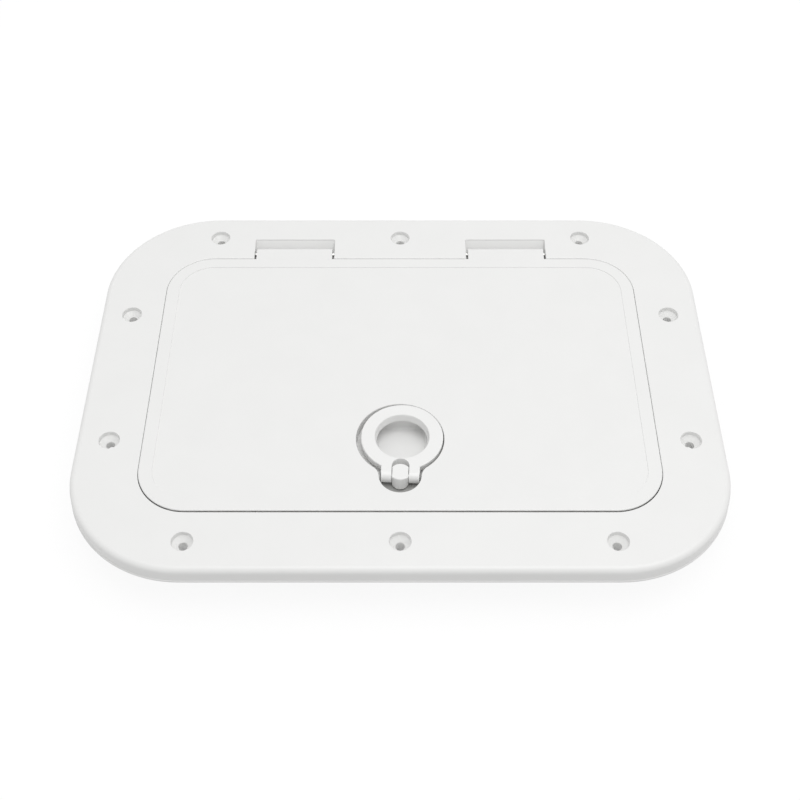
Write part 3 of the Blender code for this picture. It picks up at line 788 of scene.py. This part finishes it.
def add_hinge_tab(shell, middle_x):
    barrel = arc((HINGE_Y, HINGE_Z), TAB_TOP - HINGE_Z, 90, BARREL_END, BARREL_STEPS)
    side_view = [(TAB_ROOT, TAB_TOP), *barrel, (TAB_ROOT, TAB_UNDER)]
    left = middle_x - TAB_HALF
    tab = outline_face("hinge_tab", [(left, y, z) for y, z in side_view])
    extrude(2 * TAB_HALF, 0, 0)
    outwards()
    ends = (left * MM, (left + 2 * TAB_HALF) * MM)

    def on_end(edge):
        return any(all(abs(vert.co.x - end) < TINY for vert in edge.verts) for end in ends)

    bevel_edges(on_end, TAB_EDGE, 3)
    close_piece()
    add_on(shell, tab)
    hole_ends = both_sides(middle_x, TAB_HALF + HOLE_OVERRUN)
    carve(shell, bar("tab_hole", PIN_HOLE, *hole_ends, (0, HINGE_Y, HINGE_Z)))


add_lid_ribs(lid_moulding)
for side in (-1, 1):
    add_hinge_tab(lid_moulding, side * HINGE_X)
print("lid with ribs and tabs:", len(lid_moulding.data.polygons), "faces")

# %% [markdown]
# The ring lies in a keyhole-shaped recess: a large round for the ring, a small one for its pivot, and
# on each side a fair curve that touches both. Where two rounds are joined by a third, its centre lies at
# a known distance from both centres, so the outline follows from three radii.

# %% Keyhole outline
RECESS_Y = -49
RECESS_RADIUS = 26
RECESS_STEPS = 72
PIVOT_Y = -75.5
PIVOT = (0, PIVOT_Y, 0)
PIVOT_RADIUS = 12.35
PIVOT_STEPS = 44
BLEND_RADIUS = 8
BLEND_STEPS = 10


def keyhole(grow):
    large = RECESS_RADIUS + grow
    small = PIVOT_RADIUS + grow
    blend = BLEND_RADIUS - grow
    apart = RECESS_Y - PIVOT_Y
    along = ((large + blend) ** 2 - (small + blend) ** 2 + apart ** 2) / (2 * apart)
    side = math.sqrt((large + blend) ** 2 - along ** 2)
    blend_y = RECESS_Y - along
    from_large = math.degrees(math.atan2(blend_y - RECESS_Y, side))
    from_small = math.degrees(math.atan2(blend_y - PIVOT_Y, side))
    left = arc((-side, blend_y), blend, -from_large, -from_small, BLEND_STEPS)
    right = arc((side, blend_y), blend, 180 + from_small, 180 + from_large, BLEND_STEPS)
    points = arc((0, RECESS_Y), large, from_large, 180 - from_large, RECESS_STEPS)
    points += left[1:]
    points += arc((0, PIVOT_Y), small, 180 - from_small, 360 + from_small, PIVOT_STEPS)[1:]
    return points + right[1:-1]


print("keyhole:", len(keyhole(0)), "points")

# %% [markdown]
# Under the ring a dish lets a fingertip in. Its floor is a ramp that falls from the front to an upright
# back wall. The dish is carried down flat, and then a lattice, a cage of eight corners, tilts its lower
# half, which keeps the rounded foot even all round.

# %% Finger dish
DISH_MIDDLE = -45.3
DISH_HALF_X = 15.5
DISH_HALF_Y = 15.1
DISH_CORNER = 4
DISH_BRIM = 31
DISH_FLOOR = 26.2
DISH_FALL = 0.272
DISH_FILLET = 1.5
DISH_FLAT = 3


def slope_floor(dish):
    """Let the dish's floor fall towards the back, with a cage whose lower corners are moved."""
    half = 2 * DISH_HALF_Y
    depth = DISH_BRIM - DISH_FLOOR
    bpy.ops.object.select_all(action="DESELECT")
    middle = Vector((0, DISH_MIDDLE, DISH_FLOOR + depth / 2)) * MM
    bpy.ops.object.add(type="LATTICE", location=middle)
    cage = bpy.context.object
    cage.scale = Vector((2 * half, 2 * half, depth)) * MM
    for corner in cage.data.points:
        if corner.co.z < 0:
            corner.co_deform.z -= math.copysign(DISH_FALL * half / depth, corner.co.y)
    make_active(dish)
    modifier = dish.modifiers.new("floor_fall", "LATTICE")
    modifier.object = cage
    bpy.ops.object.modifier_apply(modifier=modifier.name)
    bpy.data.objects.remove(cage)
    deepest = min(vert.co.z for vert in dish.data.vertices) / MM
    print(dish.name, "goes down to", round(deepest, 2), "mm")
    return dish


def finger_dish(name, grow):
    outline = (DISH_HALF_X + grow, DISH_HALF_Y + grow, DISH_CORNER + grow)
    dish = rounded_face(name, *outline, DISH_BRIM, (0, DISH_MIDDLE))
    floor = DISH_FLOOR - grow
    follow_section(soften([(0, DISH_BRIM, 0), (0, floor, DISH_FILLET), (DISH_FLAT, floor, 0)]))
    close_piece()
    return slope_floor(dish)


# %% [markdown]
# The walls of the recess are added under the plate before it is cut, so that the moulding keeps one
# even thickness, as it must to cool without sinking. Then the keyhole, the well round the lug, the room
# for the ring's ears and the dish are cut, a small rest for the ring's free end is put back, and the
# spindle's bore goes through.

# %% Latch recess
RECESS_FLOOR = 30.5
RECESS_UNDER = 28.02
RECESS_WALL_HIGH = 7.1
WALL = 2.5
RECESS_LIP = [(0, LIP_RISE), (0.2, 0.02), (0.38, -0.2), (0.48, -0.45), (LIP_GROW, -0.7)]
WELL_FLOOR = 27.5
WELL_BACK_WALL = ((-14.15, PIVOT_Y, 25.1), (14.15, -66.6, 34.9))
BUSH_PROFILE = [(0, 22.3), (8.6, 22.3), (9, 22.7), (9, 26.5), (0, 26.5)]
EAR_ROOM = ((-11.65, PIVOT_Y, WELL_FLOOR + 0.02), (11.65, -69.1, 34.2))
RING_REST = ((-6, -27.75, 29.6), (6, -21.8, 33.2))


def pivot_bar(name, radius, low, high, steps):
    return bar(name, radius, low, high, PIVOT, ALONG_Z, steps)


def add_recess_walls(shell):
    wall = outline_face("recess_wall", [(x, y, RECESS_UNDER) for x, y in keyhole(WALL)])
    extrude(0, 0, RECESS_WALL_HIGH)
    close_piece()
    add_on(shell, wall)
    add_on(shell, finger_dish("dish_wall", WALL))
    add_on(shell, pivot_bar("well_wall", radius=14.85, low=25, high=34.7, steps=64))
    add_on(shell, block("well_wall_back", *WELL_BACK_WALL))
    add_on(shell, spin_piece("bush", BUSH_PROFILE, PIVOT))


def cut_latch_recess(shell):
    brim = PANEL + LIP_RISE
    recess = outline_face("recess", [(x, y, brim) for x, y in keyhole(LIP_GROW)])
    follow_section(sunk_path(RECESS_LIP, PANEL, RECESS_FLOOR))
    close_piece()
    carve(shell, recess)
    carve(shell, pivot_bar("well", radius=12.05, low=WELL_FLOOR, high=34, steps=64))
    carve(shell, block("ear_room", *EAR_ROOM))
    carve(shell, finger_dish("dish", 0))
    add_on(shell, block("ring_rest", *RING_REST))
    carve(shell, pivot_bar("spindle_bore", radius=5.8, low=21, high=39, steps=48))


add_recess_walls(lid_moulding)
cut_latch_recess(lid_moulding)
finish_piece(lid_moulding, white_asa, "lid", "lid")

# %% [markdown]
# ## The pull ring and its lug
# The ring is a flat disc with a tapered hole for a finger and two ears that reach the pin. It is drawn
# in plan and extruded, its rims are bevelled, and the round ears, the hole and the lug's slot follow. It
# sits turned a little to one side, as a ring with play in it does, so it is modelled square and then
# swung about the pivot.

# %% Sizes of the ring
RING_Y = -48.05
RING_RADIUS = 24.3
RING_UNDER = 33.5
RING_STEPS = 96
RING_EDGE = 0.7
RING_UNDER_EDGE = 0.3
RING_HOLE_REACH = 13
PIN_Y = -74
RING_PIN = (0, PIN_Y, 34)
EAR_HALF = 11.35
EAR_STEPS = 56
EAR_PROFILE = [
    (0, -11.2), (3.5, -11.2), (3.85, -11.05), (3.97, -10.7),
    (3.97, 10.7), (3.85, 11.05), (3.5, 11.2), (0, 11.2),
]
FINGER_HOLE_MIDDLE = (0, -47.6, 0)
FINGER_HOLE = [
    (0, 38.4), (17.1, 38.4), (16.42, 38.05), (16.15, 37.88), (15.98, 37.6), (15.85, 37.2),
    (15, 33.8), (14.9, 33), (0, 33),
]
SLOT_Y = -69.4
SLOT_HALF = 5.3
SLOT_STEPS = 28
SLOT_MOUTH = -80
SLOT_BRIM = 38.4
SLOT_PATH = [(0, SLOT_BRIM), (0.12, 38.02), (0.24, 37.75), (0.3, 37.4), (0.3, 29)]
SLOT_FOOT = 30
SLOT_SLOPE = 2.2
print("ring:", 2 * RING_RADIUS, "mm across and", TOP - RING_UNDER, "mm thick")

# %% Pull ring
SWING = math.radians(-2.4)


def swing_piece(piece):
    """Turn a piece about the pivot and leave the turn in its mesh."""
    make_active(piece)
    pivot = Vector(PIVOT) * MM
    turn = Matrix.Rotation(SWING, 4, "Z")
    piece.matrix_world = Matrix.Translation(pivot) @ turn @ Matrix.Translation(-pivot)
    bpy.ops.object.transform_apply(location=True, rotation=True, scale=False)


def ring_plate():
    meet = math.degrees(math.asin(EAR_HALF / RING_RADIUS))
    plan = arc((0, RING_Y), RING_RADIUS, meet - 90, 270 - meet, RING_STEPS)
    plan += [(-EAR_HALF, PIN_Y), (EAR_HALF, PIN_Y)]
    ring = outline_face("pull_ring_moulding", [(x, y, RING_UNDER) for x, y in plan])
    extrude(0, 0, TOP - RING_UNDER)
    outwards()

    def on_rim(height):
        def test(edge):
            level = all(abs(vert.co.z - height * MM) < TINY for vert in edge.verts)
            return level and any(vert.co.y > PIN_Y * MM + TINY for vert in edge.verts)
        return test

    bevel_edges(on_rim(TOP), RING_EDGE, 5)
    bevel_edges(on_rim(RING_UNDER), RING_UNDER_EDGE, 2)
    close_piece()
    return ring


def lug_slot():
    plan = arc((0, SLOT_Y), SLOT_HALF, 0, 180, SLOT_STEPS)
    plan += [(-SLOT_HALF, SLOT_MOUTH), (SLOT_HALF, SLOT_MOUTH)]
    slot = outline_face("lug_slot", [(x, y, SLOT_BRIM) for x, y in plan])
    follow_section(SLOT_PATH)
    close_piece()
    slope_back(slot, SLOT_Y + TINY, SLOT_FOOT, SLOT_SLOPE)
    return slot


def build_ring():
    ring = ring_plate()
    add_on(ring, spin_piece("ear_barrels", EAR_PROFILE, RING_PIN, ALONG_X, EAR_STEPS))
    carve(ring, spin_piece("finger_hole", FINGER_HOLE, FINGER_HOLE_MIDDLE, steps=RING_STEPS))
    carve(ring, lug_slot())
    carve(ring, bar("ring_pin_hole", PIN_HOLE, *both_sides(0, RING_HOLE_REACH), RING_PIN))
    swing_piece(ring)
    return ring


finish_piece(build_ring(), latch_asa, "pull_ring", "ring")

# %% [markdown]
# The lug stands in the ring's slot on a thin neck, and the pin goes through it. Both of its ends are
# slightly bowed, and at its foot it runs out to a rounded toe. The toe is one point that is pulled
# forwards with proportional editing, so that the points beside it follow less and less.

# %% Pivot lug
LUG_FOOT = 30.6
LUG_TOP = 38.2
LUG_BACK = -68
LUG_FRONT = -79.5
LUG_TOE = 1.5
LUG_HALF = 4.75
LUG_BULGE_BACK = 2.2
LUG_BULGE_FRONT = 1.9
LUG_SECTION = [(0, LUG_FOOT, 0), (0, LUG_TOP, 0.7), (0.75, LUG_TOP, 0)]
LUG_HOLE_REACH = 9
BOW_STEPS = 14
NECK_TOP = LUG_FOOT + 0.3
STEM_PROFILE = [
    (0, NECK_TOP), (2.6, NECK_TOP), (2.6, 27.5), (5.1, 27.4), (5.5, 27), (5.5, 23.5), (0, 23.5),
]


def bowed_end(end_y, bulge, facing):
    """The points of an arc across the lug that stands out by the bulge at its middle."""
    bow = (LUG_HALF ** 2 + bulge ** 2) / (2 * bulge)
    swing = math.degrees(math.asin(LUG_HALF / bow))
    centre = end_y - bow * math.sin(math.radians(facing))
    return arc((0, centre), bow, facing - swing, facing + swing, BOW_STEPS)


def pull_toe(lug):
    toe = Vector((0, LUG_FRONT, LUG_FOOT)) * MM

    def is_toe(vert):
        return (vert.co - toe).length < TINY

    bpy.ops.object.mode_set(mode="EDIT")
    select_where("VERT", is_toe)
    bpy.ops.transform.translate(
        value=(0, -LUG_TOE * MM, 0),
        use_proportional_edit=True,
        proportional_edit_falloff="SPHERE",
        proportional_size=LUG_HALF * MM,
    )
    bpy.ops.object.mode_set(mode="OBJECT")
    print("toe:", round(min(vert.co.y for vert in lug.data.vertices) / MM, 2), "mm")


def build_lug():
    plan = bowed_end(LUG_BACK, LUG_BULGE_BACK, 90) + bowed_end(LUG_FRONT, LUG_BULGE_FRONT, 270)
    lug = outline_face("pivot_lug", [(x, y, LUG_FOOT) for x, y in plan])
    follow_section(soften(LUG_SECTION, steps=6))
    close_piece()
    pull_toe(lug)
    add_on(lug, spin_piece("stem", STEM_PROFILE, PIVOT, steps=48))
    carve(lug, bar("lug_pin_hole", PIN_HOLE, *both_sides(0, LUG_HOLE_REACH), RING_PIN))
    swing_piece(lug)
    return lug


finish_piece(build_lug(), latch_asa, "pivot_block", "lid")

# %% [markdown]
# ## Seals
# The gasket under the lid has two lips that press on the frame. It is carried round like the frame,
# over the top and underneath. A flat washer round the lug's neck keeps water out of the spindle's
# hole. Its grey is painted shade: it makes the dark crescent in front of the lug, where the well lies in
# shadow. Washers are turned from one rounded section.

# %% Lid gasket and spindle washer
GASKET_OUTLINE = (146.4, 96.4, 24.4)
GASKET_MIDDLE = 31.8
GASKET_TOP = 33.2
GASKET_FOOT = 30.3
GASKET_GROOVE = 31.3
GASKET_WIDE = 6
GASKET_OVER = [
    (0, GASKET_MIDDLE, 0), (0, GASKET_TOP, 0.25), (GASKET_WIDE, GASKET_TOP, 0.25),
    (GASKET_WIDE, GASKET_MIDDLE, 0),
]
GASKET_UNDER = [
    (0, GASKET_MIDDLE, 0), (0, GASKET_FOOT, 0.7), (1.8, GASKET_FOOT, 0.6), (2.1, GASKET_GROOVE, 0.2),
    (3.9, GASKET_GROOVE, 0.2), (4.2, GASKET_FOOT, 0.6), (GASKET_WIDE, GASKET_FOOT, 0.7),
    (GASKET_WIDE, GASKET_MIDDLE, 0),
]
SMALL_STEPS = 3


def build_gasket():
    gasket = rounded_face("lid_gasket", *GASKET_OUTLINE, GASKET_MIDDLE)
    over = soften(GASKET_OVER, SMALL_STEPS)
    return carry_round(gasket, GASKET_MIDDLE, over, soften(GASKET_UNDER, SMALL_STEPS))


def build_washer(name, inner, outer, low, high, soft):
    middle = (low + high) / 2
    corners = [
        (inner, middle, 0), (inner, high, soft), (outer, high, soft),
        (outer, low, soft), (inner, low, soft), (inner, middle, 0),
    ]
    profile = [tuple(point) for point in soften(corners, SMALL_STEPS)]
    return spin_piece(name, profile, PIVOT)


finish_piece(build_gasket(), black_epdm, "lid_seal", "lid")
spindle_gasket = build_washer(
    "spindle_gasket", inner=2.9, outer=11.75, low=27.8, high=29.2, soft=0.3
)
finish_piece(spindle_gasket, grey_epdm_painted_shade, "spindle_seal", "lid")

# %% [markdown]
# ## Tongue and spindle
# Under the lid the spindle carries a tongue that swings below the frame's ledge. The tongue is a bar
# with a round end, drawn in plan and extruded. The corners of its tip are bevelled first and then all
# rims, so that the rims run round the tip. A square hole keeps it from slipping on the spindle.

# %% Tongue
TONGUE_ROUND = 9
TONGUE_TIP = -24.6
TONGUE_HALF = 7
TONGUE_LOW = 17
TONGUE_THICK = 3.7
TIP_BAND = -24
TIP_CORNER = 2.5
TONGUE_EDGE = 0.6
SQUARE_HOLE = ((-4, PIVOT_Y - 4, 16), (4, PIVOT_Y + 4, 22))


def build_tongue():
    plan = arc((0, PIVOT_Y), TONGUE_ROUND, -135, 135, 36)
    front, back = both_sides(PIVOT_Y, TONGUE_HALF)
    plan += [(-TONGUE_ROUND, back), (TONGUE_TIP, back), (TONGUE_TIP, front), (-TONGUE_ROUND, front)]
    tongue = outline_face("latch_tongue_bar", [(x, y, TONGUE_LOW) for x, y in plan])
    extrude(0, 0, TONGUE_THICK)
    outwards()

    def rise(edge):
        return abs(edge.verts[0].co.z - edge.verts[1].co.z)

    def at_tip(edge):
        return rise(edge) > MM and all(vert.co.x < TIP_BAND * MM for vert in edge.verts)

    def on_rim(edge):
        return rise(edge) < TINY

    bevel_edges(at_tip, TIP_CORNER, 6)
    bevel_edges(on_rim, TONGUE_EDGE, 4)
    close_piece()
    carve(tongue, block("spindle_square_hole", *SQUARE_HOLE))
    return tongue


finish_piece(build_tongue(), latch_asa, "latch_tongue", "tongue")

# %% [markdown]
# The spindle has a collar, a square for the tongue and a thread for the nut. The thread is drawn as
# rings, because at this size they can't be told from a helix. The nut starts as a six-sided cylinder,
# and a turned piece takes off its corners, as the chamfer on a real nut does. A nylon washer lies
# between the lid's boss and the tongue.

# %% Spindle, nut and thrust washer
SPINDLE_SQUARE = ((-3.7, PIVOT_Y - 3.7, 16.9), (3.7, PIVOT_Y + 3.7, 21.5))
THREAD_TOP = 17.4
THREAD_RADIUS = 3
THREAD_FIRST = 16.6
THREAD_TURNS = 6
THREAD_SHAPE = [(THREAD_RADIUS, 0), (2.55, 0.4), (2.55, 0.55), (THREAD_RADIUS, 0.95)]
THREAD_END = [(2.6, 10.3), (0, 10.3)]
FINE_STEPS = 40
NUT_ACROSS = 10
NUT_THICK = 3.5
NUT_MIDDLE = (11.8 + 15.3) / 2
NUT_LATHE = [(0, 11.7), (4.9, 11.7), (6.1, 12.4), (6.1, 14.7), (4.9, 15.4), (0, 15.4)]


def build_spindle():
    spindle = pivot_bar("threaded_spindle", radius=5.5, low=20.8, high=23.2, steps=48)
    add_on(spindle, block("spindle_square", *SPINDLE_SQUARE))
    thread = [(0, THREAD_TOP), (THREAD_RADIUS, THREAD_TOP)]
    for turn in range(THREAD_TURNS):
        thread += [(radius, THREAD_FIRST - turn - drop) for radius, drop in THREAD_SHAPE]
    add_on(spindle, spin_piece("thread", thread + THREAD_END, PIVOT, steps=FINE_STEPS))
    return spindle


def build_nut():
    bpy.ops.object.select_all(action="DESELECT")
    corner = NUT_ACROSS / math.sqrt(3) * MM
    place = Vector((0, PIVOT_Y, NUT_MIDDLE)) * MM
    bpy.ops.mesh.primitive_cylinder_add(
        vertices=6, radius=corner, depth=NUT_THICK * MM, location=place
    )
    nut = bpy.context.object
    nut.name = "hex_nut"
    bpy.ops.object.transform_apply(location=True, rotation=False, scale=False)
    apply_boolean(nut, spin_piece("corner_chamfer", NUT_LATHE, PIVOT), "INTERSECT")
    carve(nut, pivot_bar("nut_bore", radius=3.3, low=11, high=16, steps=FINE_STEPS))
    return nut


finish_piece(build_spindle(), stainless, "spindle", "tongue")
finish_piece(build_nut(), stainless, "tongue_nut", "tongue")
nylon_washer = build_washer("nylon_washer", inner=5.8, outer=9, low=21, high=22, soft=0.2)
finish_piece(nylon_washer, nylon, "thrust_washer", "tongue")

# %% [markdown]
# The pins, clips and spring washer are right as solids. They keep their shapes and get the drawn steel.

# %% Steel on the kept solids
STEEL_SOLIDS = (
    "hinge_pin_left", "hinge_pin_right", "pin_clip_left", "pin_clip_right", "ring_pin", "spring_washer",
)
for node in STEEL_SOLIDS:
    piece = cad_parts[node]
    piece.data.materials.clear()
    piece.data.materials.append(stainless)
print("drawn steel on", len(STEEL_SOLIDS), "solids")

# %% [markdown]
# ## Camera
# The photograph was taken from the front, about fifty degrees above the deck, with a short telephoto
# lens. The place and the lens follow from how the flange's sides run together.

# %% Camera
CAMERA_PLACE = Vector((-0.0001, -0.512, 0.635))
CAMERA_LOOK = Vector((0, 0.636, -0.772))
LENS_MM = 57.6
SENSOR_MM = 36

bpy.ops.object.select_all(action="DESELECT")
bpy.ops.object.camera_add(location=CAMERA_PLACE)
camera = bpy.context.object
camera.rotation_euler = CAMERA_LOOK.to_track_quat("-Z", "Y").to_euler()
camera.data.lens = LENS_MM
camera.data.sensor_width = SENSOR_MM
bpy.context.scene.camera = camera
bpy.context.scene.view_settings.view_transform = "Standard"
print("camera at", [round(value, 3) for value in camera.location])

# %% [markdown]
# ## Floor and light
# The hatch stands on its collar on a pale floor. To the camera, in reflections and through glass the
# floor looks white and keeps the shadow: part of its brightness is its own, and part is the light that
# falls on it. To all other rays it is a plain pale grey that bounces light as a real floor does.

# %% Floor
FLOOR_HALF = 6
FLOOR_LEVEL = -0.5
FLOOR_GLOW = 0.9
FLOOR_LIT = 0.11
FLOOR_BOUNCE = 0.65


def grey(level):
    return (level, level, level, 1)


def seen_by_eye(tree):
    """One for rays that end in the picture: from the camera, from a gloss and through glass."""
    path = add_node(tree, "ShaderNodeLightPath")
    direct = {0: path.outputs["Is Camera Ray"], 1: path.outputs["Is Glossy Ray"]}
    seen = add_node(tree, "ShaderNodeMath", links=direct, operation="MAXIMUM")
    through = {0: seen.outputs["Value"], 1: path.outputs["Is Transmission Ray"]}
    return add_node(tree, "ShaderNodeMath", links=through, operation="MAXIMUM").outputs["Value"]


def pale_floor():
    bpy.ops.object.select_all(action="DESELECT")
    bpy.ops.mesh.primitive_plane_add(size=2 * FLOOR_HALF, location=(0, 0, FLOOR_LEVEL * MM))
    floor = bpy.context.object
    floor.name = "floor"
    material = bpy.data.materials.new("pale_floor")
    material.use_nodes = True
    tree = material.node_tree
    tree.nodes.clear()
    bounce = add_node(tree, "ShaderNodeBsdfDiffuse", {"Color": grey(FLOOR_BOUNCE)})
    lit = add_node(tree, "ShaderNodeBsdfDiffuse", {"Color": grey(FLOOR_LIT)})
    glow = add_node(tree, "ShaderNodeEmission", {"Strength": FLOOR_GLOW})
    parts = {0: lit.outputs["BSDF"], 1: glow.outputs["Emission"]}
    white = add_node(tree, "ShaderNodeAddShader", links=parts)
    choice = {0: seen_by_eye(tree), 1: bounce.outputs["BSDF"], 2: white.outputs["Shader"]}
    mix = add_node(tree, "ShaderNodeMixShader", links=choice)
    add_node(tree, "ShaderNodeOutputMaterial", links={"Surface": mix.outputs["Shader"]})
    floor.data.materials.append(material)


pale_floor()
print("floor under the collar")

# %% [markdown]
# White plastic needs soft, even light, or its pale shapes wash out. The world gives most of it from all
# round and looks white itself, and one broad lamp overhead makes the faces differ slightly in tone.

# %% World and lamp
WORLD_LIGHT = 0.82


def soft_world():
    world = bpy.data.worlds.new("studio")
    bpy.context.scene.world = world
    world.use_nodes = True
    tree = world.node_tree
    tree.nodes.clear()
    dim = add_node(tree, "ShaderNodeBackground", {"Strength": WORLD_LIGHT})
    white = add_node(tree, "ShaderNodeBackground", {"Color": (1, 1, 1, 1), "Strength": 1})
    choice = {0: seen_by_eye(tree), 1: dim.outputs["Background"], 2: white.outputs["Background"]}
    mix = add_node(tree, "ShaderNodeMixShader", links=choice)
    add_node(tree, "ShaderNodeOutputWorld", links={"Surface": mix.outputs["Shader"]})


def soft_lamp(name, place, size, power):
    bpy.ops.object.select_all(action="DESELECT")
    bpy.ops.object.light_add(type="AREA", location=place)
    lamp = bpy.context.object
    lamp.name = name
    lamp.rotation_euler = (-Vector(place)).to_track_quat("-Z", "Y").to_euler()
    lamp.data.shape = "DISK"
    lamp.data.size = size
    lamp.data.energy = power
    return lamp


soft_world()
softbox = soft_lamp("overhead_softbox", place=(0.22, -0.08, 1.68), size=1.6, power=13.5)
print("world and", softbox.name)
